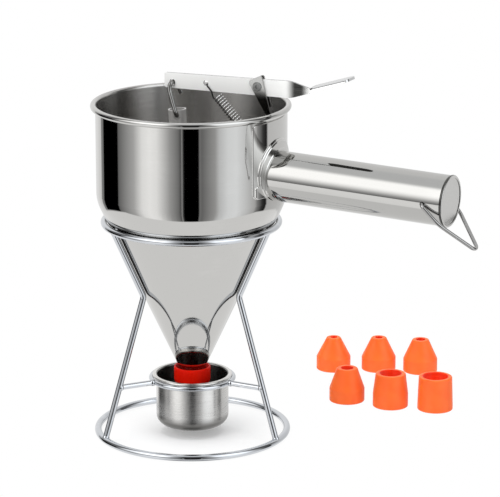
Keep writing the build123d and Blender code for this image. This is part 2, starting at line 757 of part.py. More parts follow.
# Drip cup: a drawn cup whose beaded lip hangs on the cup ring
lip_radius = cup_radius + cup_lip_reach
bead_center = lip_radius - cup_bead / 2
cup_ring_radius = lip_radius - cup_ring_overlap + cup_ring_wire / 2
lip_rest = cup_ring_wire / 2 + cup_bead / 2 + seat_gap
lip_height = cup_ring_height + sqrt(lip_rest**2 - (cup_ring_radius - bead_center) ** 2)
lip_top = lip_height + cup_bead / 2
cup_lip_end = bead_center - cup_bead / 10
cup_inside = cup_radius - sheet
corner_middle = (cup_radius - cup_corner, cup_bottom + cup_corner)
flare_middle = (cup_inside + cup_flare, lip_top - cup_flare)
with BuildPart() as drip_cup:
    with BuildSketch(Plane.XZ):
        with BuildLine():
            outer_corner = CenterArc(corner_middle, cup_corner, -90, 90)
            outer_flare = CenterArc(flare_middle, cup_flare - sheet, 180, -90)
            Line(outer_corner @ 1, outer_flare @ 0)
            inner_flare = CenterArc(flare_middle, cup_flare, 90, 90)
            Polyline(
                outer_flare @ 1,
                (cup_lip_end, lip_top - sheet),
                (cup_lip_end, lip_top),
                inner_flare @ 0,
            )
            inner_corner = CenterArc(corner_middle, cup_corner - sheet, 0, -90)
            Line(inner_flare @ 1, inner_corner @ 0)
            Polyline(inner_corner @ 1, (0, cup_bottom + sheet), (0, cup_bottom), outer_corner @ 0)
        make_face()
        with Locations((bead_center, lip_height)):
            Circle(cup_bead / 2)
    revolve(axis=Axis.Z)
drip_cup.part.label = "drip_cup"
export_step(drip_cup.part, "parts/drip_cup.step")

# Stand rings
cone_clearance = (stand_wire / 2 + seat_gap) / cos(slope)
top_ring_height = seam_height - top_ring_drop
top_ring_radius = cone_radius(top_ring_height) + cone_clearance
with BuildPart() as base_ring:
    add(ring(base_ring_radius, base_wire, base_wire / 2))
base_ring.part.label = "base_ring"
export_step(base_ring.part, "parts/base_ring.step")

with BuildPart() as top_ring:
    add(ring(top_ring_radius, stand_wire, top_ring_height))
top_ring.part.label = "top_ring"
export_step(top_ring.part, "parts/top_ring.step")

with BuildPart() as cup_ring:
    add(ring(cup_ring_radius, cup_ring_wire, cup_ring_height))
cup_ring.part.label = "cup_ring"
export_step(cup_ring.part, "parts/cup_ring.step")

# Legs between the top and base rings, and struts between the cup ring and the legs
waist_radius = cone_radius(waist_height) + cone_clearance
strut_share = (waist_height - cup_ring_height) / (waist_height - base_wire / 2)
for number, (angle, foot_turn) in enumerate(zip(leg_angles, leg_foot_turns), start=1):
    leg_waist = polar(waist_radius, angle, waist_height)
    leg_foot = polar(base_ring_radius, angle + foot_turn, base_wire / 2)
    leg_points = [polar(top_ring_radius, angle, top_ring_height), leg_waist, leg_foot]
    with BuildPart() as leg:
        add(bent_wire(Plane.XY, leg_points, waist_bend, stand_wire))
        add(ring(top_ring_radius, stand_wire + 2 * weld_gap, top_ring_height), mode=Mode.SUBTRACT)
        add(ring(base_ring_radius, base_wire + 2 * weld_gap, base_wire / 2), mode=Mode.SUBTRACT)
    leg.part.label = f"leg_{number}"
    export_step(leg.part, f"parts/leg_{number}.step")

    strut_end = leg_waist + (leg_foot - leg_waist) * strut_share
    strut_way = Vector(strut_end.X, strut_end.Y, 0).normalized()
    strut_start = strut_way * (cup_ring_radius + cup_ring_wire / 4) + Vector(0, 0, cup_ring_height)
    with BuildPart() as cup_strut:
        with BuildSketch(Plane(origin=strut_start, z_dir=strut_way)):
            Circle(strut_wire / 2)
        extrude(amount=(strut_end - strut_start).length)
        add(ring(cup_ring_radius, cup_ring_wire + 2 * weld_gap, cup_ring_height), mode=Mode.SUBTRACT)
        add(bent_wire(Plane.XY, leg_points, waist_bend, stand_wire + 2 * weld_gap), mode=Mode.SUBTRACT)
    cup_strut.part.label = f"cup_strut_{number}"
    export_step(cup_strut.part, f"parts/cup_strut_{number}.step")
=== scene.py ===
# %% [markdown]
# # A confectionery funnel on its wire stand
# The funnel, its lever and its stand were drawn in CAD, which holds their sizes and joints. Blender adds what
# CAD leaves out: finishes, welds and a swept spring. The packed model is loaded first and stays as it is,
# because each new piece is placed by its numbers.

import json
import math

import bpy
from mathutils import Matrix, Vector


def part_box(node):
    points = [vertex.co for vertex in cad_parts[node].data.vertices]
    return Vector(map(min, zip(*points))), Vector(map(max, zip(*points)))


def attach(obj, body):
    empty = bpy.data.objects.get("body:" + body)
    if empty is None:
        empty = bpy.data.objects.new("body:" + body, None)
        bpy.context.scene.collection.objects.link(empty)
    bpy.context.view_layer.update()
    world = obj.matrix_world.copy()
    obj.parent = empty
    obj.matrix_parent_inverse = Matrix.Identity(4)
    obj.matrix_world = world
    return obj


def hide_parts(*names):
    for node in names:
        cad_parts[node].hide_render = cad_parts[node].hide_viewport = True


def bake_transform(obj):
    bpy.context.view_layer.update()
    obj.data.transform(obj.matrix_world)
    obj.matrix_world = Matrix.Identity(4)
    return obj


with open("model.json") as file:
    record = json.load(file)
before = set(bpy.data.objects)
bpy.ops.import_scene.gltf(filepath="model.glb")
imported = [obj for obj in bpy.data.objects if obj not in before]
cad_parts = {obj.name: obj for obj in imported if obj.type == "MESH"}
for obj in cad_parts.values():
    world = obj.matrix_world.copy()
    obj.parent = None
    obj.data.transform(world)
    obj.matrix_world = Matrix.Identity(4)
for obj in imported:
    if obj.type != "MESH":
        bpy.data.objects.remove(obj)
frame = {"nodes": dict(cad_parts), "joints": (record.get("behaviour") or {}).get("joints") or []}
scene = bpy.context.scene
nodes = frame["nodes"]
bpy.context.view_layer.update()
MM = 0.001

# %% [markdown]
# ## The camera
# The picture is taken from a little above the rim, with the handle swung towards the viewer. A long lens
# far away makes near and far things almost the same size, as in a catalogue picture. The place and the turn
# were fitted to the rings of the stand and to the rim, so they are written as plain numbers.

# %% Set the camera
LENS_MM, SENSOR_MM = 208.15, 36.0
CAMERA_PLACE = (1.0331, -1.9941, 0.7589)
CAMERA_TILT, CAMERA_TURN = math.radians(74.92), math.radians(26.19)
camera_data = bpy.data.cameras.new("catalogue_camera")
camera_data.sensor_width = SENSOR_MM
camera_data.lens = LENS_MM
camera = bpy.data.objects.new("catalogue_camera", camera_data)
camera.location = CAMERA_PLACE
camera.rotation_euler = (CAMERA_TILT, 0, CAMERA_TURN)
scene.collection.objects.link(camera)
scene.camera = camera
scene.view_settings.view_transform = "Standard"
TO_RIGHT = (math.cos(CAMERA_TURN), math.sin(CAMERA_TURN), 0)
TO_CAMERA = (math.sin(CAMERA_TURN), -math.cos(CAMERA_TURN), 0)
print("camera", round(camera.location.length, 2), "m from the stand")

# %% [markdown]
# ## Shader maths in Python
# A finish is a tree of small nodes. Placing them by hand hides the idea, so one class wraps a socket: adding
# or multiplying two of them adds a Math node, and one method makes nodes of every kind. A formula then reads
# as a formula.


# %% Wrap a socket
class Shade:
    """One socket of a shader tree. Arithmetic on it adds Math nodes."""

    def __init__(self, tree, socket=None):
        self.tree = tree
        self.socket = socket

    def node(self, kind, settings={}, sockets={}, out=0):
        """Add a node, set it up, fill or link its sockets, and give one of its outputs."""
        made = self.tree.nodes.new("ShaderNode" + kind)
        for name, value in settings.items():
            if name == "stops":
                while len(made.color_ramp.elements) < len(value):
                    made.color_ramp.elements.new(1.0)
                for element, (position, colour) in zip(made.color_ramp.elements, value):
                    element.position = position
                    element.color = colour
            else:
                setattr(made, name, value)
        for name, value in sockets.items():
            if isinstance(value, Shade):
                self.tree.links.new(value.socket, made.inputs[name])
            else:
                made.inputs[name].default_value = value
        return Shade(self.tree, made.outputs[out]) if made.outputs else None

    def out(self, name):
        """Another output of the same node."""
        return Shade(self.tree, self.socket.node.outputs[name])

    def maths(self, operation, *values):
        """A Math node on one or two values."""
        return self.node("Math", {"operation": operation}, dict(enumerate(values)))

    def __add__(self, other):
        return self.maths("ADD", self, other)

    def __radd__(self, other):
        return self.maths("ADD", other, self)

    def __sub__(self, other):
        return self.maths("SUBTRACT", self, other)

    def __rsub__(self, other):
        return self.maths("SUBTRACT", other, self)

    def __mul__(self, other):
        return self.maths("MULTIPLY", self, other)

    def __rmul__(self, other):
        return self.maths("MULTIPLY", other, self)

    def __truediv__(self, other):
        return self.maths("DIVIDE", self, other)

    def __rtruediv__(self, other):
        return self.maths("DIVIDE", other, self)

    def ease(self, low, high):
        """0 below one value, 1 above another, and smooth between them."""
        settings = {"interpolation_type": "SMOOTHSTEP"}
        return self.node("MapRange", settings, {"Value": self, "From Min": low, "From Max": high})

    def tint(self, first, second):
        """A colour that goes from the first to the second as this value goes from 0 to 1."""
        return self.node("Mix", {"data_type": "RGBA"}, {0: self, 6: first, 7: second}, 2)

    def mix(self, first, second):
        """A surface that goes from the first to the second as this value goes from 0 to 1."""
        return self.node("MixShader", {}, {0: self, 1: first, 2: second})

    def part(self, letter):
        """One coordinate of a vector."""
        return self.node("SeparateXYZ", {}, {0: self}).out(letter)

    def stretch(self, factors):
        """A vector with each coordinate multiplied by its own factor."""
        return self.node("VectorMath", {"operation": "MULTIPLY"}, {0: self, 1: factors})

    def along(self, direction):
        """How far a vector goes along a direction."""
        return self.node("VectorMath", {"operation": "DOT_PRODUCT"}, {0: self, 1: direction}, "Value")


def solid(red, green, blue):
    """A colour that hides what is behind it."""
    return (red, green, blue, 1.0)


print("reflected operators:", [name for name in vars(Shade) if name.startswith("__r")])

# %% [markdown]
# ## The studio
# Polished steel has almost no colour of its own: it shows the room. So the room is built in the world's
# shader. Round the object stand pale screens with black gaps between them, and the wall of the bowl mirrors
# those gaps as upright stripes. Above them are softboxes and a pale ceiling, below them is the paper that the
# object stands on. Lamps with a surface could do the same, but here the place of a stripe is one number. The
# camera itself sees plain white.

# %% Measure the way of a ray
world = bpy.data.worlds.new("studio")
scene.world = world
world.use_nodes = True
world.node_tree.nodes.clear()
room = Shade(world.node_tree)
way = room.node("TexCoord", out="Generated")
turn = room.maths("ARCTAN2", way.along(TO_RIGHT), way.along(TO_CAMERA)) * math.degrees(1)
height = room.maths("ARCSINE", way.along((0, 0, 1))) * math.degrees(1)
print("turn and height in degrees, from the camera's side and from the horizon")

# %% [markdown]
# The screens and the softboxes are colour ramps over the turn, and the ceiling is one over the height. A mark
# is an angle, a level and, for the cooler light from a window, a share of blue. The levels were chosen for
# the stripes that they give on the steel. A ramp holds no colour above 1, so they are divided by the
# brightest one, and the background is made that much stronger.

# %% Light the rings of the room
ROOM_LEVEL = 2.0
ALL_ROUND, UPWARDS = (-180, 180), (0, 90)
SCREENS = [
    (-180, 0.80), (-152, 0.95), (-138, 0.85), (-137, 0.28), (-131, 0.28), (-130, 0), (-98, 0),
    (-97, 0.18), (-72, 0.60), (-60, 1.18), (-50, 1.30), (-41, 1.20), (-33, 0.86), (-24, 0.48),
    (-14, 0.24), (-11.2, 0.10), (-10, 0.42), (-8.2, 0), (10.2, 0), (11, 0.26), (14, 0.20), (30, 0.47),
    (35, 0.80, 0.03), (46, 1.08, 0.04), (57, 1.13, 0.04), (68, 0.94, 0.03), (84, 0.60), (88, 0.28),
    (96, 0.05), (103, 0.01), (105, 0.65), (180, 0.80),
]
SOFTBOXES = [
    (-180, 0.95), (-150, 0.95), (-128, 0.80), (-122, 0.20), (-96, 0.20), (-88, 1.20), (-64, 2.00),
    (-36, 2.00), (-24, 0.60), (-11, 0.08), (13, 0.08), (24, 0.60), (32, 1.70, 0.05), (66, 1.90, 0.05),
    (80, 0.50), (90, 0.12), (116, 0.12), (124, 0.80), (150, 0.80), (180, 0.95),
]
CEILING = [(40, 1.20), (58, 0.90, 0.02), (90, 0.80, 0.03)]


def level_colour(level, blue=0.0):
    """The colour of a level, with less red and green where it is bluer."""
    share = level / ROOM_LEVEL
    return solid(share * (1 - blue), share * (1 - blue / 2), share)


def ramp(marks, value, low, high):
    """A colour ramp over a value that goes from a low to a high angle."""
    stops = [((angle - low) / (high - low), level_colour(*levels)) for angle, *levels in marks]
    return room.node("ValToRGB", {"stops": stops}, {"Fac": (value - low) / (high - low)})


screens = ramp(SCREENS, turn, *ALL_ROUND)
softboxes = ramp(SOFTBOXES, turn, *ALL_ROUND)
ceiling = ramp(CEILING, height, *UPWARDS)
print("rings with", len(SCREENS), "marks on the screens and", len(SOFTBOXES), "on the softboxes")

# %% [markdown]
# The rings are laid over each other from the floor up, each with its own edge and softness in degrees. The
# object's shadow lies on the paper, so what looks almost straight down sees dark. The paper reaches further
# at the sides and behind than in front, so its edge is higher there. Beside the handle a grey gap parts the
# screens from the softboxes, and the handle mirrors it along its upper side.

# %% Build the room from its rings
PAPER_LEVEL, SHADOW_LEVEL, GAP_LEVEL = 0.97, 0.12, 0.25
GAP_LEFT, GAP_RIGHT = (-90, -75), (-35, -20)
SHADOW_EDGE, SHADOW_SOFT = -73, 4
PAPER_EDGE, PAPER_RISE, PAPER_SOFT = -41, 16, 1.5
SCREEN_TOP, SCREEN_SOFT = -8.6, 0.5
SOFTBOX_FOOT, SOFTBOX_FULL = -10, 28
SOFTBOX_TOP, SOFTBOX_SOFT = 56, 8
WHITE = solid(1, 1, 1)


def above(edge, soft):
    """1 for a ray above an edge, 0 for one below it."""
    return (height - edge).ease(-soft, soft)


to_front = room.maths("MAXIMUM", room.maths("COSINE", turn * math.radians(1)), 0)
paper_edge = PAPER_EDGE + PAPER_RISE * (1 - to_front)
beside_handle = turn.ease(*GAP_LEFT) * (1 - turn.ease(*GAP_RIGHT))
studio = above(SHADOW_EDGE, SHADOW_SOFT).tint(level_colour(SHADOW_LEVEL), level_colour(PAPER_LEVEL))
studio = above(paper_edge, PAPER_SOFT).tint(studio, screens)
studio = (above(SCREEN_TOP, SCREEN_SOFT) * beside_handle).tint(studio, level_colour(GAP_LEVEL))
studio = height.ease(SOFTBOX_FOOT, SOFTBOX_FULL).tint(studio, softboxes)
studio = above(SOFTBOX_TOP, SOFTBOX_SOFT).tint(studio, ceiling)
lights = room.node("Background", {}, {"Color": studio, "Strength": ROOM_LEVEL})
backdrop = room.node("Background", {}, {"Color": WHITE, "Strength": 1.0})
seen = room.node("LightPath", out="Is Camera Ray")
room.node("OutputWorld", {}, {"Surface": seen.mix(lights, backdrop)})
print("room of", len(world.node_tree.nodes), "nodes")

# %% [markdown]
# Two large lamps help to light what is matt: the paper, the plastic and the ground lever. One hangs above the
# table and gives the soft shadow under the cup, the other fills from the front and casts none. A brighter
# room could light them too, but the steel would show it. Mirror rays don't see the lamps.

# %% Hang the lamps
LAMP_SIZE = 1.0
OVERHEAD_PLACE, OVERHEAD_TARGET, OVERHEAD_POWER = (0.0, -0.1, 1.3), (0.0, 0.0, 0.0), 12.0
FILL_PLACE, FILL_TARGET, FILL_POWER = (-0.3, -1.4, 0.8), (0.1, 0.0, 0.2), 6.5


def hang(name, place, target, power, shadow):
    """A square lamp that looks at a target, with or without a shadow."""
    data = bpy.data.lights.new(name, "AREA")
    data.size = LAMP_SIZE
    data.energy = power
    data.use_shadow = shadow
    lamp = bpy.data.objects.new(name, data)
    lamp.location = place
    lamp.rotation_euler = (Vector(target) - Vector(place)).to_track_quat("-Z", "Y").to_euler()
    lamp.visible_glossy = False
    scene.collection.objects.link(lamp)
    print(name, "of", power, "W")


hang("overhead_lamp", OVERHEAD_PLACE, OVERHEAD_TARGET, OVERHEAD_POWER, shadow=True)
hang("fill_lamp", FILL_PLACE, FILL_TARGET, FILL_POWER, shadow=False)

# %% [markdown]
# ## The floor
# The stand is on white paper, which takes the soft shadow of the cup and the ring. A flat disc is enough for
# it. It lies a hair below the stand, and the steel looks through it to the paper of the room.

# %% Lay the paper
FLOOR_RADIUS, FLOOR_SIDES, FLOOR_DROP = 0.6, 96, 0.2 * MM
paper_edges = [math.tau * step / FLOOR_SIDES for step in range(FLOOR_SIDES)]
paper_points = [
    (FLOOR_RADIUS * math.cos(angle), FLOOR_RADIUS * math.sin(angle), -FLOOR_DROP) for angle in paper_edges
]
paper_mesh = bpy.data.meshes.new("paper_floor")
paper_mesh.from_pydata(paper_points, [], [list(range(FLOOR_SIDES))])
floor = bpy.data.objects.new("paper_floor", paper_mesh)
floor.visible_glossy = False
scene.collection.objects.link(floor)
print("floor radius", FLOOR_RADIUS, "m")

# %% [markdown]
# Lit paper isn't exactly as white as the backdrop, so its rim would show. A share of plain white is mixed in
# for the camera, small under the cup and whole further out.

# %% Finish the paper
PAPER_COLOUR = solid(0.93, 0.93, 0.93)
SHADOW_INNER, SHADOW_OUTER, SHADOW_SHARE = 0.02, 0.09, 0.2


def new_finish(name):
    """An empty material, and the start of its tree."""
    material = bpy.data.materials.new(name)
    material.use_nodes = True
    material.node_tree.nodes.clear()
    return material, Shade(material.node_tree)


def show(shade, surface):
    """Make a surface the one that is rendered."""
    shade.node("OutputMaterial", {}, {"Surface": surface})


paper_finish, shade = new_finish("white_paper")
spot = shade.node("TexCoord", out="Object")
from_stand = shade.node("VectorMath", {"operation": "LENGTH"}, {0: spot}, "Value")
paleness = SHADOW_SHARE + (1 - SHADOW_SHARE) * from_stand.ease(SHADOW_INNER, SHADOW_OUTER)
to_lens = shade.node("LightPath", out="Is Camera Ray") * paleness
matt = shade.node("BsdfDiffuse", {}, {"Color": PAPER_COLOUR})
glow = shade.node("Emission", {}, {"Color": WHITE, "Strength": 1.0})
show(shade, to_lens.mix(matt, glow))
paper_mesh.materials.append(paper_finish)
print(paper_finish.name, "is plain white from", SHADOW_OUTER, "m outwards")

# %% [markdown]
# ## Steel
# The steel pieces differ in three things: how pale they are, how rough they are, and which way the grinding
# lines run. Pictures of scratches could give the lines, but a noise that is stretched along the work's path
# fits every piece. It feeds the roughness, a little of the colour and, where a piece is brushed, a shallow
# bump, so that a highlight breaks up as it does on ground metal.

# %% Draw grinding lines
OFF_ZERO = 1e-9
SMEAR_RANGE = (0.45, 0.75)


def lines_round(shade, fine):
    """Noise drawn out into rings round the funnel's axis, with so many changes per metre of height."""
    spot = shade.node("TexCoord", out="Object")
    x, y, z = (spot.part(letter) for letter in "XYZ")
    radius = shade.maths("SQRT", x * x + y * y + OFF_ZERO)
    place = shade.node("CombineXYZ", {}, {0: x / radius, 1: y / radius, 2: z * fine})
    return shade.node("TexNoise", {}, {"Vector": place, "Scale": 1.0, "Detail": 4.0, "Roughness": 0.7})


def lines_along(shade, fine):
    """Noise drawn out along one direction, with so many changes per metre in X, Y and Z."""
    place = shade.node("TexCoord", out="Object").stretch(fine)
    return shade.node("TexNoise", {}, {"Vector": place, "Scale": 1.0, "Detail": 4.0, "Roughness": 0.65})


def smears(shade, fine):
    """Faint cloudy marks, as wiping leaves, with so many changes per metre."""
    spot = shade.node("TexCoord", out="Object")
    cloud = shade.node("TexNoise", {}, {"Vector": spot, "Scale": fine, "Detail": 5.0, "Roughness": 0.6})
    return cloud.ease(*SMEAR_RANGE)


print("three kinds of marks: round the axis, along a direction, and smears")

# %% [markdown]
# One function makes the metal itself, from a dark and a light colour and a smooth and a rough value. Each
# finish could be a tree of its own, but then a change would have to be made in all of them. The anisotropy
# draws a highlight out across the grinding lines, as on a brushed pan. It is a plain number on the shader's
# own socket, because it is the same all over a finish.

# %% Make the metal
LINE_DEPTH, BRUSH_TURN = 0.05 * MM, 0.25
NOISE_RANGE = (0.3, 0.7)


def steel(shade, lines, dark, light, smooth, rough, depth=0.0, brushed=0.0, metal=1.0):
    """A metal whose lines go from one colour and roughness to another. Below 1, metal leaves a matt share."""
    bump = shade.node("Bump", {}, {"Strength": depth, "Distance": LINE_DEPTH, "Height": lines})
    sockets = {
        "Base Color": lines.ease(*NOISE_RANGE).tint(solid(*dark), solid(*light)),
        "Metallic": metal,
        "Roughness": smooth + (rough - smooth) * lines,
        "Anisotropic": brushed,
        "Anisotropic Rotation": BRUSH_TURN,
        "Normal": bump,
    }
    return shade.node("BsdfPrincipled", {}, sockets)


def dress(material, *names):
    """Give CAD pieces a finish."""
    for name in names:
        for place in nodes[name].material_slots:
            place.material = material
    print(material.name, "on", ", ".join(names))


print("metal ready, with lines", LINE_DEPTH / MM, "mm deep at most")

# %% [markdown]
# ### Bowl and cone
# The sheet was rolled and welded, then polished like a mirror outside and brushed round the axis inside. Two
# materials on one piece would need its faces sorted, so the shader asks each point instead whether its face
# looks away from the axis or towards it.

# %% Finish the bowl and the cone
SHEET_DARK, SHEET_LIGHT = (0.575, 0.570, 0.555), (0.605, 0.600, 0.585)
BRUSHED_DARK, BRUSHED_LIGHT = (0.55, 0.54, 0.525), (0.61, 0.60, 0.585)
LEVEL = (1, 1, 0)


def inner_side(normal, place, full):
    """0 where a face looks away from an upright axis, 1 where it looks towards it by a full measure."""
    return (0 - normal.along(place.stretch(LEVEL))).ease(0.0, full)


sheet_finish, shade = new_finish("polished_and_brushed_sheet")
polish = lines_round(shade, fine=700) * 0.5 + 0.5 * smears(shade, fine=14)
outside = steel(shade, polish, SHEET_DARK, SHEET_LIGHT, smooth=0.03, rough=0.07)
brush = lines_round(shade, fine=1500)
inside = steel(shade, brush, BRUSHED_DARK, BRUSHED_LIGHT, smooth=0.20, rough=0.26, depth=0.03, brushed=1.0)
spot = shade.node("TexCoord", out="Object")
show(shade, inner_side(spot.out("Normal"), spot, full=2 * MM).mix(outside, inside))
dress(sheet_finish, "bowl", "cone")

# %% [markdown]
# ### Handle
# The tube is polished lengthwise. Its lines run along the handle, which lies along X, so the noise hardly
# changes in X and changes quickly in Y and Z. The spout is a tube too and has the same finish. The flange and
# the plate behind it are paler and have smears only.

# %% Finish the tube and the flange
TUBE_DARK, TUBE_LIGHT = (0.480, 0.476, 0.462), (0.505, 0.500, 0.487)
FLANGE_DARK, FLANGE_LIGHT = (0.68, 0.675, 0.66), (0.72, 0.715, 0.70)
tube_finish, shade = new_finish("polished_tube")
polish = lines_along(shade, fine=(6, 420, 420)) * 0.5 + 0.5 * smears(shade, fine=16)
show(shade, steel(shade, polish, TUBE_DARK, TUBE_LIGHT, smooth=0.04, rough=0.08))
dress(tube_finish, "handle_tube", "spout")
flange_finish, shade = new_finish("polished_flange")
show(shade, steel(shade, smears(shade, fine=16), FLANGE_DARK, FLANGE_LIGHT, smooth=0.05, rough=0.09))
dress(flange_finish, "handle_flange", "handle_plate")

# %% [markdown]
# The cap's face is satin, and its rounded edge shows as a thin dark line round it. A dark ring in the room
# could give that line, but other pieces would mirror the ring too. So the line is a painted reflection: the
# edge gets a dark metal colour, found by how far a face looks along the handle.

# %% Finish the end cap
CAP_DARK, CAP_LIGHT = (0.74, 0.735, 0.72), (0.77, 0.765, 0.75)
CAP_EDGE_PAINTED_DARK, CAP_EDGE_PAINTED_LIGHT = (0.10, 0.10, 0.095), (0.16, 0.16, 0.155)
EDGE_TO_FACE = (0.5, 0.9)
cap_finish, shade = new_finish("satin_cap")
polish = smears(shade, fine=30)
face = steel(shade, polish, CAP_DARK, CAP_LIGHT, smooth=0.26, rough=0.30)
# The edge's dark colour is a painted reflection.
edge = steel(shade, polish, CAP_EDGE_PAINTED_DARK, CAP_EDGE_PAINTED_LIGHT, smooth=0.08, rough=0.14)
outward = shade.node("TexCoord", out="Normal").part("X")
show(shade, outward.ease(*EDGE_TO_FACE).mix(edge, face))
dress(cap_finish, "handle_end_cap")

# %% [markdown]
# ### Drip cup
# The cup was turned against an abrasive belt, which leaves rings round it. The rings spread the mirrored
# screens up and down but hardly sideways, and that is what the anisotropy gives. The corner at its foot and
# its inside look darker than the wall. The room has nothing that they alone would mirror, so the darkness is
# painted shade: darker copies of the same metal, mixed in by height and by the way a face looks.

# %% Finish the cup
BELTED_DARK, BELTED_LIGHT = (0.72, 0.71, 0.69), (0.80, 0.79, 0.77)
FOOT_PAINTED_SHADE_DARK, FOOT_PAINTED_SHADE_LIGHT = (0.15, 0.148, 0.142), (0.19, 0.187, 0.18)
HOLLOW_PAINTED_SHADE_DARK, HOLLOW_PAINTED_SHADE_LIGHT = (0.28, 0.275, 0.265), (0.34, 0.335, 0.325)
FOOT_TO_WALL = (5 * MM, 13 * MM)
cup_finish, shade = new_finish("satin_cup")
rings = lines_round(shade, fine=1300)
wall = steel(shade, rings, BELTED_DARK, BELTED_LIGHT, smooth=0.24, rough=0.32, depth=0.03, brushed=0.80)
# Painted shade: darker copies of the metal for the foot's corner and for the inside.
painted_foot_shade = steel(shade, rings, FOOT_PAINTED_SHADE_DARK, FOOT_PAINTED_SHADE_LIGHT, smooth=0.26, rough=0.34, depth=0.03, brushed=0.80)
painted_hollow_shade = steel(shade, rings, HOLLOW_PAINTED_SHADE_DARK, HOLLOW_PAINTED_SHADE_LIGHT, smooth=0.18, rough=0.26, depth=0.03, brushed=0.85)
spot = shade.node("TexCoord", out="Object")
from_foot = spot.part("Z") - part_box("drip_cup")[0].z
outside = from_foot.ease(*FOOT_TO_WALL).mix(painted_foot_shade, wall)
show(shade, inner_side(spot.out("Normal"), spot, full=8 * MM).mix(outside, painted_hollow_shade))
dress(cup_finish, "drip_cup")

# %% [markdown]
# ### Stand
# The stand's wires were bent, welded and then chromed. Chrome is bluer than steel and levels every line, so
# this finish has smears only. The legs and the top ring look dark on the side towards the axis, where they
# mirror the shaded side of the cone. That side gets painted shade: a second, dark copy of the chrome.

# %% Finish the stand
CHROME_DARK, CHROME_LIGHT = (0.62, 0.64, 0.67), (0.68, 0.70, 0.73)
LEG_PAINTED_SHADE_DARK, LEG_PAINTED_SHADE_LIGHT = (0.16, 0.16, 0.17), (0.22, 0.22, 0.23)
BRIGHT_TO_PAINTED_SHADE = (0.25, 0.6)
LEGS = [f"leg_{number}" for number in (1, 2, 3)]
STRUTS = [f"cup_strut_{number}" for number in (1, 2, 3)]


def chrome(shade):
    """The bright chrome of all the wires."""
    return steel(shade, smears(shade, fine=60), CHROME_DARK, CHROME_LIGHT, smooth=0.01, rough=0.04)


chrome_finish, shade = new_finish("chromed_wire")
show(shade, chrome(shade))
dress(chrome_finish, "base_ring", "cup_ring", *STRUTS)
leg_finish, shade = new_finish("chromed_leg")
# Painted shade for the sides of the legs and the top ring that face the axis.
painted_leg_shade = steel(shade, smears(shade, fine=60), LEG_PAINTED_SHADE_DARK, LEG_PAINTED_SHADE_LIGHT, smooth=0.10, rough=0.20)
spot = shade.node("TexCoord", out="Object")
out_way = shade.node("VectorMath", {"operation": "NORMALIZE"}, {0: spot.stretch(LEVEL)})
to_axis = 0 - spot.out("Normal").along(out_way)
show(shade, to_axis.ease(*BRIGHT_TO_PAINTED_SHADE).mix(chrome(shade), painted_leg_shade))
dress(leg_finish, "top_ring", *LEGS)

# %% [markdown]
# ### Lever
# The lever was cut from flat bar and ground lengthwise, so its sides are pale and mostly matt. Its edges and
# its thumb plate are polished, and the blade's edges are darker than the plate's, which is painted shade. The
# blade looks dark shortly before the fold of the plate, which is a painted reflection, and its underside is
# dark, which is painted shade and which the handle mirrors. Both are a near-black copy of the metal. The
# distance from the pivot and the way a face looks place each of them.

# %% Finish the lever
GROUND_DARK, GROUND_LIGHT = (0.94, 0.94, 0.925), (0.955, 0.955, 0.94)
SHADED_DARK, SHADED_LIGHT = (0.02, 0.02, 0.019), (0.08, 0.08, 0.077)
RIDGE_DARK, RIDGE_LIGHT = (0.40, 0.40, 0.40), (0.46, 0.46, 0.46)
PLATE_DARK, PLATE_LIGHT = (0.66, 0.665, 0.67), (0.72, 0.725, 0.73)
SHADE_START, SHADE_END = (23 * MM, 32 * MM), (37 * MM, 46 * MM)
RIDGE_TO_PLATE = (42 * MM, 47 * MM)
EDGE_TO_UNDERSIDE, EDGE_TO_SIDE = (0.5, 0.8), (0.7, 0.95)
pivot = next(Vector(joint["pos_m"]) for joint in frame["joints"] if joint["name"] == "lever_press")
lever_finish, shade = new_finish("ground_lever_sheet")
ground = lines_along(shade, fine=(30, 2600, 2600))
plain = steel(shade, ground, GROUND_DARK, GROUND_LIGHT, smooth=0.27, rough=0.30, metal=0.3)
# A painted reflection before the fold and painted shade on the underside.
shaded = steel(shade, ground, SHADED_DARK, SHADED_LIGHT, smooth=0.14, rough=0.22)
# The blade's edges are darker than the plate's: painted shade.
ridge = steel(shade, ground, RIDGE_DARK, RIDGE_LIGHT, smooth=0.10, rough=0.16)
plate = steel(shade, ground, PLATE_DARK, PLATE_LIGHT, smooth=0.10, rough=0.16)
spot = shade.node("TexCoord", out="Object")
past_pivot = spot.part("X") - pivot.x
sideways = shade.maths("ABSOLUTE", spot.out("Normal").part("Y"))
downward = 0 - spot.out("Normal").part("Z")
before_fold = past_pivot.ease(*SHADE_START) * (1 - past_pivot.ease(*SHADE_END))
sides = before_fold.mix(plain, shaded)
edges = past_pivot.ease(*RIDGE_TO_PLATE).mix(ridge, plate)
edges = downward.ease(*EDGE_TO_UNDERSIDE).mix(edges, shaded)
show(shade, sideways.ease(*EDGE_TO_SIDE).mix(edges, sides))
dress(lever_finish, "lever")

# %% [markdown]
# ### Bracket and rivet
# The bracket is a plain pressing. It looks almost black inside the bowl and paler at its ears above the rim,
# so painted shade darkens it by height: its colour follows its height, with a few smears. The rivet's heads
# are a dull grey.

# %% Finish the bracket and the rivet
BRACKET_PAINTED_SHADE, BRACKET_LIGHT = (0.05, 0.048, 0.044), (0.46, 0.46, 0.45)
RIVET_DARK, RIVET_LIGHT = (0.28, 0.28, 0.275), (0.36, 0.36, 0.355)
RIM_TO_EARS = (274 * MM, 296 * MM)
bracket_finish, shade = new_finish("pressed_bracket")
tall = shade.node("TexCoord", out="Object").part("Z")
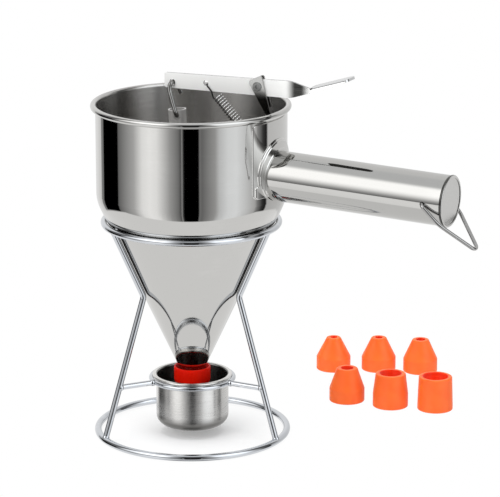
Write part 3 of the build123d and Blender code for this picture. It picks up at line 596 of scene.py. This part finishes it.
# Painted shade: darker with depth inside the bowl.
out_of_painted_shade = tall.ease(*RIM_TO_EARS) * 0.9 + 0.1 * smears(shade, fine=90)
show(shade, steel(shade, out_of_painted_shade, BRACKET_PAINTED_SHADE, BRACKET_LIGHT, smooth=0.18, rough=0.12))
dress(bracket_finish, "lever_bracket")
rivet_finish, shade = new_finish("turned_rivet")
show(shade, steel(shade, smears(shade, fine=300), RIVET_DARK, RIVET_LIGHT, smooth=0.20, rough=0.28))
dress(rivet_finish, "pivot_rivet")

# %% [markdown]
# ### Plunger and wire pieces
# The plunger's tube is drawn, with lines up and down, and a share of it is matt. The hanging loop is bent
# from bright drawn wire and the link from a darker one, both with cloudy marks from the bending. Such thin
# wire shows no lines, so smears are enough.

# %% Finish the plunger, the link and the loop
DRAWN_DARK, DRAWN_LIGHT = (0.58, 0.57, 0.56), (0.66, 0.65, 0.63)
LOOP_DARK, LOOP_LIGHT = (0.42, 0.416, 0.41), (0.48, 0.476, 0.47)
LINK_DARK, LINK_LIGHT = (0.25, 0.247, 0.24), (0.31, 0.306, 0.30)
plunger_finish, shade = new_finish("drawn_plunger_tube")
drawn = lines_along(shade, fine=(900, 900, 20))
tube = steel(shade, drawn, DRAWN_DARK, DRAWN_LIGHT, smooth=0.05, rough=0.11, depth=0.03, metal=0.6)
show(shade, tube)
dress(plunger_finish, "plunger_tube", "plunger_stopper")
wire_finish, shade = new_finish("bright_drawn_wire")
show(shade, steel(shade, smears(shade, fine=240), LOOP_DARK, LOOP_LIGHT, smooth=0.05, rough=0.10))
dress(wire_finish, "hanging_loop")
link_finish, shade = new_finish("dark_drawn_wire")
show(shade, steel(shade, smears(shade, fine=240), LINK_DARK, LINK_LIGHT, smooth=0.08, rough=0.16))
dress(link_finish, "link_hook")

# %% [markdown]
# ## Moulded nozzles
# The nozzles are moulded in a soft matt plastic, orange for the spares and redder for the one on the spout. A
# flat colour would look like paint: the mould leaves a fine grain, the plastic flows in slightly uneven
# tints, and light goes a little way into it. Noise at two sizes gives the grain and the tints, and the
# shader's subsurface scattering takes the light in. A nozzle looks deeper red inside its hole, and that is
# painted shade and bounced light, so each has a finish of its own that knows its middle.

# %% Make the plastic
GRAIN_DEPTH, SCATTER_DEPTH = 0.03 * MM, 2 * MM


def plastic(piece, deep, bright, hole, gloss):
    """A plastic for one nozzle: two tints of its skin, the painted shade and bounced light inside its hole,
    and how much it shines.
    """
    material, shade = new_finish(piece + "_plastic")
    low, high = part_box(piece)
    to_middle = [-(near + far) / 2 for near, far in zip(low, high)]
    spot = shade.node("TexCoord", out="Object")
    place = shade.node("Mapping", {}, {"Vector": spot, "Location": to_middle})
    grain = shade.node("TexNoise", {}, {"Vector": place, "Scale": 1800.0, "Detail": 2.0})
    flow = shade.node("TexNoise", {}, {"Vector": place, "Scale": 30.0, "Detail": 2.0, "Distortion": 0.8})
    skin = flow.ease(*NOISE_RANGE).tint(solid(*deep), solid(*bright))
    in_hole = inner_side(spot.out("Normal"), place, full=2 * MM)
    sockets = {
        # The hole colour is painted shade and bounced light.
        "Base Color": in_hole.tint(skin, solid(*hole)),
        "Roughness": 0.40 + 0.10 * grain,
        "Specular IOR Level": gloss,
        "Subsurface Weight": 0.25,
        "Subsurface Radius": (1.0, 0.22, 0.06),
        "Subsurface Scale": SCATTER_DEPTH,
        "Normal": shade.node("Bump", {}, {"Strength": 0.05, "Distance": GRAIN_DEPTH, "Height": grain}),
    }
    show(shade, shade.node("BsdfPrincipled", {}, sockets))
    dress(material, piece)


print("plastic ready, with a grain", GRAIN_DEPTH / MM, "mm deep at most")

# %% [markdown]
# The spares stand close to the funnel, and each would be a bright spot in its steel. The picture has no such
# spots, so mirror rays pass the spares by.

# %% Finish the nozzles
ORANGE_DEEP, ORANGE_BRIGHT = (0.95, 0.130, 0.013), (0.97, 0.155, 0.018)
# The hole colours are painted shade and bounced light.
ORANGE_HOLE_PAINTED_SHADE = (0.97, 0.042, 0.004)
RED_DEEP, RED_BRIGHT = (0.76, 0.008, 0.001), (0.82, 0.011, 0.001)
RED_HOLE_PAINTED_SHADE = (0.60, 0.005, 0.001)
for name in [f"spare_nozzle_{number}" for number in range(1, 7)]:
    plastic(name, ORANGE_DEEP, ORANGE_BRIGHT, ORANGE_HOLE_PAINTED_SHADE, gloss=0.45)
    nodes[name].visible_glossy = False
plastic("fitted_nozzle", RED_DEEP, RED_BRIGHT, RED_HOLE_PAINTED_SHADE, gloss=0.1)

# %% [markdown]
# ## The return spring
# A spring of bright wire pulls the lever back: a hook through the lever's hole, 24 coils, and a hook through
# the lug inside the bowl. CAD holds it rigid. Here one curve follows the wire's middle, and a Geometry Nodes
# tree sweeps a round section along it, with the wire's radius as an input. The result is one mesh. The hooks
# come first, each a straight tail, half a circle and a straight leg.

# %% Draw the hooks of the spring's wire
LEVER_HOLE = pivot + Vector((-45.1, 0, -2.5)) * MM
LUG_HOLE = pivot + Vector((10.1, 0, -60.8)) * MM
HOOK_RADIUS, HOOK_TAIL, HOOK_LEG, HOOK_LENGTH = 2.2 * MM, 3.8 * MM, 4.8 * MM, 12.0 * MM
TAIL_STEPS, HOOK_STEPS, LEG_STEPS = 4, 16, 5
span = (LUG_HOLE - LEVER_HOLE).length
axis = (LUG_HOLE - LEVER_HOLE).normalized()
side = Vector((0, -1, 0))
up = axis.cross(side)


def wire_point(along, across, raised=0.0):
    """A place on the wire, measured from the lever's hole."""
    return LEVER_HOLE + axis * along + side * across + up * raised


def hook(start, turned):
    """The points of a hook, from its tail to the coils."""
    points = []
    for step in range(TAIL_STEPS):
        points.append((HOOK_RADIUS + HOOK_TAIL * (1 - step / TAIL_STEPS), -HOOK_RADIUS))
    for step in range(HOOK_STEPS + 1):
        angle = math.pi * step / HOOK_STEPS
        points.append((HOOK_RADIUS * (1 - math.sin(angle)), -HOOK_RADIUS * math.cos(angle)))
    for step in range(1, LEG_STEPS + 1):
        points.append((HOOK_RADIUS + HOOK_LEG * step / LEG_STEPS, HOOK_RADIUS))
    return [wire_point(start + turned * along, turned * across) for along, across in points]


upper_hook = hook(0, 1)
lower_hook = hook(span, -1)
print("hooks of", len(upper_hook), "points,", round(span / MM, 1), "mm between their holes")

# %% [markdown]
# The coils are a formula: the angle and the way along the axis grow together. A curve of straight steps is
# enough, because 24 of them in a turn look round.

# %% Draw the coils and join the wire
COIL_RADIUS, COIL_TURNS, COIL_START, COIL_STEPS = 3.5 * MM, 24.25, math.radians(45), 24
coil_length = span - 2 * HOOK_LENGTH
steps = round(COIL_TURNS * COIL_STEPS)
coils = []
for step in range(steps + 1):
    angle = COIL_START + math.tau * COIL_TURNS * step / steps
    along = HOOK_LENGTH + coil_length * step / steps
    coils.append(wire_point(along, COIL_RADIUS * math.cos(angle), COIL_RADIUS * math.sin(angle)))
middle = upper_hook + coils + lower_hook[::-1]
spring_curve = bpy.data.curves.new("spring_path", "CURVE")
spring_curve.dimensions = "3D"
line = spring_curve.splines.new("POLY")
line.points.add(len(middle) - 1)
for point, place in zip(line.points, middle):
    point.co = (*place, 1.0)
spring_path = bpy.data.objects.new("spring_path", spring_curve)
scene.collection.objects.link(spring_path)
print("spring path of", len(middle), "points")

# %% [markdown]
# The wire looks bright on the outside of the coils and almost black inside them. That black is painted shade,
# mixed in by how far a face looks away from the coils' own axis, which is the line through the two holes.

# %% Finish the spring
BRIGHT_DARK, BRIGHT_LIGHT = (0.92, 0.92, 0.91), (0.95, 0.95, 0.94)
COIL_PAINTED_SHADE_DARK, COIL_PAINTED_SHADE_LIGHT = (0.01, 0.01, 0.01), (0.02, 0.02, 0.018)
PAINTED_SHADE_TO_BRIGHT = (2.6 * MM, 3.7 * MM)
spring_finish, shade = new_finish("bright_spring_wire")
bright = steel(shade, smears(shade, fine=500), BRIGHT_DARK, BRIGHT_LIGHT, smooth=0.06, rough=0.12)
# Painted shade inside the coils.
painted_coil_shade = steel(shade, smears(shade, fine=500), COIL_PAINTED_SHADE_DARK, COIL_PAINTED_SHADE_LIGHT, smooth=0.20, rough=0.30)
spot = shade.node("TexCoord", out="Object")
from_hole = shade.node("VectorMath", {"operation": "SUBTRACT"}, {0: spot, 1: tuple(LEVER_HOLE)})
on_axis = {0: tuple(axis), "Scale": from_hole.along(tuple(axis))}
nearest = shade.node("VectorMath", {"operation": "SCALE"}, on_axis)
out_way = shade.node("VectorMath", {"operation": "SUBTRACT"}, {0: from_hole, 1: nearest})
facing = spot.out("Normal").along(out_way)
show(shade, facing.ease(*PAINTED_SHADE_TO_BRIGHT).mix(painted_coil_shade, bright))
print(spring_finish.name, "of", len(spring_finish.node_tree.nodes), "nodes")

# %% [markdown] A tree for Geometry Nodes is built once and fed by named inputs. Each input is set by its
# socket's identifier, before Blender evaluates the object for the first time.


# %% Help with geometry trees
def new_tree(name, inputs):
    """A Geometry Nodes tree with a geometry in and out, and named inputs."""
    tree = bpy.data.node_groups.new(name, "GeometryNodeTree")
    tree.interface.new_socket("Geometry", in_out="INPUT", socket_type="NodeSocketGeometry")
    tree.interface.new_socket("Geometry", in_out="OUTPUT", socket_type="NodeSocketGeometry")
    for label, kind in inputs:
        tree.interface.new_socket(label, in_out="INPUT", socket_type="NodeSocket" + kind)
    return tree, tree.nodes.new("NodeGroupInput"), tree.nodes.new("NodeGroupOutput")


def step_node(tree, kind, links):
    """Add a node of a geometry tree and link or set its inputs."""
    made = tree.nodes.new("GeometryNode" + kind)
    for name, value in links.items():
        if isinstance(value, bpy.types.NodeSocket):
            tree.links.new(value, made.inputs[name])
        else:
            made.inputs[name].default_value = value
    return made


def run_tree(source, tree, name, values):
    """Evaluate a tree on an object, keep the result as a plain mesh and remove the source."""
    modifier = source.modifiers.new(tree.name, "NODES")
    modifier.node_group = tree
    keys = {item.name: item.identifier for item in tree.interface.items_tree if item.in_out == "INPUT"}
    for label, value in values.items():
        modifier[keys[label]] = value
    evaluated = source.evaluated_get(bpy.context.evaluated_depsgraph_get())
    mesh = bpy.data.meshes.new_from_object(evaluated)
    source.modifiers.remove(modifier)
    bpy.data.objects.remove(source)
    made = bpy.data.objects.new(name, mesh)
    mesh.name = name
    scene.collection.objects.link(made)
    print(name, "has", len(mesh.vertices), "points and", len(mesh.polygons), "faces")
    return made


print("geometry trees take a geometry and named inputs")

# %% [markdown]
# The section is a circle of the wire's radius, and Curve to Mesh carries it along the path. The mesh then
# stands for the rigid spring, which is hidden.

# %% Sweep the wire
WIRE_RADIUS, WIRE_SIDES = 0.6 * MM, 12
wire_inputs = [("Wire Radius", "Float"), ("Sides", "Int"), ("Finish", "Material")]
sweep_tree, given, result = new_tree("sweep_wire", wire_inputs)
section = step_node(
    sweep_tree, "CurvePrimitiveCircle",
    {"Radius": given.outputs["Wire Radius"], "Resolution": given.outputs["Sides"]},
)
swept = step_node(
    sweep_tree, "CurveToMesh",
    {"Curve": given.outputs["Geometry"], "Profile Curve": section.outputs["Curve"], "Fill Caps": True},
)
smooth = step_node(sweep_tree, "SetShadeSmooth", {"Geometry": swept.outputs["Mesh"]})
whole = step_node(sweep_tree, "RealizeInstances", {"Geometry": smooth.outputs["Geometry"]})
coated = step_node(
    sweep_tree, "SetMaterial",
    {"Geometry": whole.outputs["Geometry"], "Material": given.outputs["Finish"]},
)
sweep_tree.links.new(coated.outputs["Geometry"], result.inputs["Geometry"])
wire_values = {"Wire Radius": WIRE_RADIUS, "Sides": WIRE_SIDES, "Finish": spring_finish}
spring = run_tree(spring_path, sweep_tree, "coiled_spring", wire_values)
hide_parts("return_spring")
lower_bend = LUG_HOLE - axis * HOOK_LENGTH / 2
upper_bend = LEVER_HOLE + axis * HOOK_LENGTH / 2
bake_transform(spring)

# %% [markdown]
# ## Weld beads
# The stand is welded where its wires meet, and chrome covers the welds, so each shows as a small smooth bead.
# The places come from the CAD wires: the points nearest to a wire's end have their middle where the two wires
# touch. Each bead is then moved a little outwards, so that it shows.

# %% Find the places of the welds
WELD_DEPTH, WELD_SHIFT = 2.0 * MM, 0.6 * MM


def wire_end(name, measure):
    """The middle of a wire's points within the weld's depth of its end, where the measure is greatest."""
    points = [vertex.co.copy() for vertex in nodes[name].data.vertices]
    limit = max(measure(point) for point in points) - WELD_DEPTH
    near = [point for point in points if measure(point) >= limit]
    return sum(near, Vector()) / len(near)


def upwards(point):
    return point.z


def downwards(point):
    return -point.z


def outwards(point):
    return math.hypot(point.x, point.y)


def inwards(point):
    return -math.hypot(point.x, point.y)


weld_places = []
for leg, strut in zip(LEGS, STRUTS):
    weld_places += [wire_end(leg, upwards), wire_end(leg, downwards)]
    weld_places += [wire_end(strut, outwards), wire_end(strut, inwards)]
weld_places = [place + Vector((place.x, place.y, 0)).normalized() * WELD_SHIFT for place in weld_places]
weld_mesh = bpy.data.meshes.new("weld_places")
weld_mesh.from_pydata(weld_places, [], [])
weld_points = bpy.data.objects.new("weld_places", weld_mesh)
scene.collection.objects.link(weld_points)
print(len(weld_places), "welds, the highest at", round(max(place.z for place in weld_places) / MM, 1), "mm")

# %% [markdown]
# Twelve beads are one shape repeated, which is what instances on points are for. The tree puts a ball on each
# point. Its radius is a little over the wire's, so that the bead swells out all round.

# %% Set the beads
BEAD_RADIUS, BEAD_DETAIL = 2.9 * MM, 4
bead_tree, given, result = new_tree("weld_beads", [("Bead Radius", "Float"), ("Finish", "Material")])
ball = step_node(
    bead_tree, "MeshIcoSphere",
    {"Radius": given.outputs["Bead Radius"], "Subdivisions": BEAD_DETAIL},
)
placed = step_node(
    bead_tree, "InstanceOnPoints",
    {"Points": given.outputs["Geometry"], "Instance": ball.outputs["Mesh"]},
)
whole = step_node(bead_tree, "RealizeInstances", {"Geometry": placed.outputs["Instances"]})
smooth = step_node(bead_tree, "SetShadeSmooth", {"Geometry": whole.outputs["Geometry"]})
coated = step_node(
    bead_tree, "SetMaterial",
    {"Geometry": smooth.outputs["Geometry"], "Material": given.outputs["Finish"]},
)
bead_tree.links.new(coated.outputs["Geometry"], result.inputs["Geometry"])
bead_values = {"Bead Radius": BEAD_RADIUS, "Finish": chrome_finish}
beads = run_tree(weld_points, bead_tree, "weld_beads", bead_values)
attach(beads, "stand")

# %% [markdown] ## The end of the lesson
